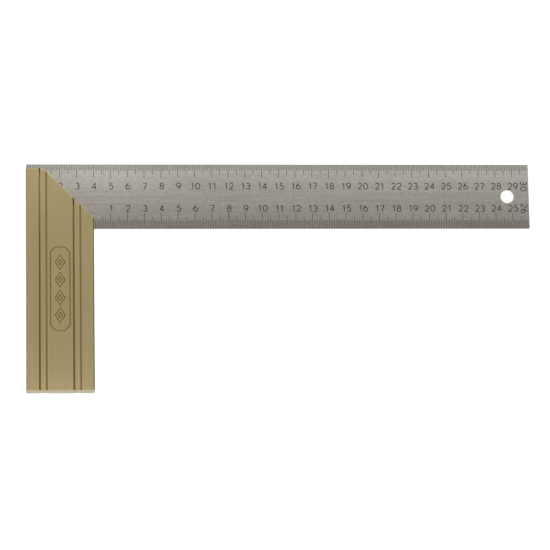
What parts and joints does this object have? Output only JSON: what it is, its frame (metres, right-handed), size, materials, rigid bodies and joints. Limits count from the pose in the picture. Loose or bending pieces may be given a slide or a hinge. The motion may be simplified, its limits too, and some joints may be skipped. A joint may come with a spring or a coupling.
{
  "type": "try and mitre square",
  "caption": "Graduated steel rule blade fixed at a right angle in a slotted, mitred aluminium stock, for marking out 90 and 45 degree lines.",
  "frame": {"origin": "inside corner of the square: where the stock's working face meets the blade's inner edge, at the middle of the blade's thickness", "axes": "+X along the blade to its free end, +Y across the blade to its outer edge, +Z out of the front faces, so the square lies flat on its back"},
  "size_m": [0.3, 0.1365, 0.012],
  "materials": {
    "anodised_aluminium": "champagne gold anodised, fine lengthwise brushing",
    "ground_steel": "satin ground along its length, black etched graduations",
    "pin_steel": "bright, ground flush with the stock's back"
  },
  "bodies": {
    "root": {"stock": "anodised_aluminium", "blade": "ground_steel", "fixing_pin_1": "pin_steel", "fixing_pin_2": "pin_steel", "fixing_pin_3": "pin_steel"}
  },
  "joints": []
}
